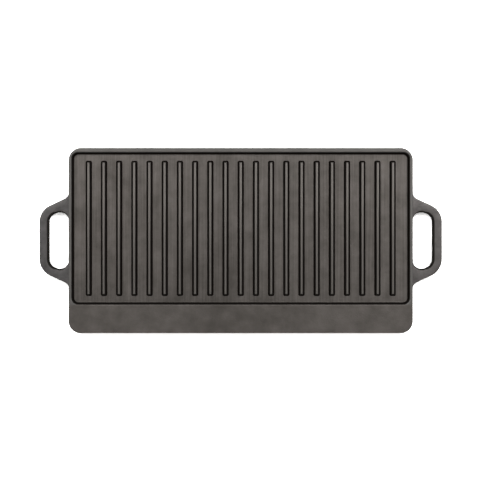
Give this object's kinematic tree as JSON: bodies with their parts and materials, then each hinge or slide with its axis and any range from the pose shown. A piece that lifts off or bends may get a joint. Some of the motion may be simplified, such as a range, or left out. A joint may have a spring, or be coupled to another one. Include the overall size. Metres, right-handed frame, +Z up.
{
  "type": "camp griddle plate",
  "caption": "Reversible cast-iron griddle plate: a ribbed face inside a raised rim with a smooth front ledge, a flat face with a grease trough below, and a loop handle at each end",
  "frame": {"origin": "on the table under the middle of the plate", "axes": "+X along the length towards the right handle, +Y to the rear, so the ledge is at -Y, +Z up out of the ribbed face"},
  "size_m": [0.499, 0.229, 0.015],
  "materials": {
    "cast_iron": "sand-cast, seasoned, satin"
  },
  "bodies": {
    "root": {"griddle_floor": "cast_iron", "rear_rim": "cast_iron", "left_rim": "cast_iron", "right_rim": "cast_iron", "grease_trough": "cast_iron", "left_handle": "cast_iron", "right_handle": "cast_iron", "rib_01": "cast_iron", "rib_02": "cast_iron", "rib_03": "cast_iron", "rib_04": "cast_iron", "rib_05": "cast_iron", "rib_06": "cast_iron", "rib_07": "cast_iron", "rib_08": "cast_iron", "rib_09": "cast_iron", "rib_10": "cast_iron", "rib_11": "cast_iron", "rib_12": "cast_iron", "rib_13": "cast_iron", "rib_14": "cast_iron", "rib_15": "cast_iron", "rib_16": "cast_iron", "rib_17": "cast_iron", "rib_18": "cast_iron", "rib_19": "cast_iron", "rib_20": "cast_iron", "rib_21": "cast_iron"}
  },
  "joints": []
}
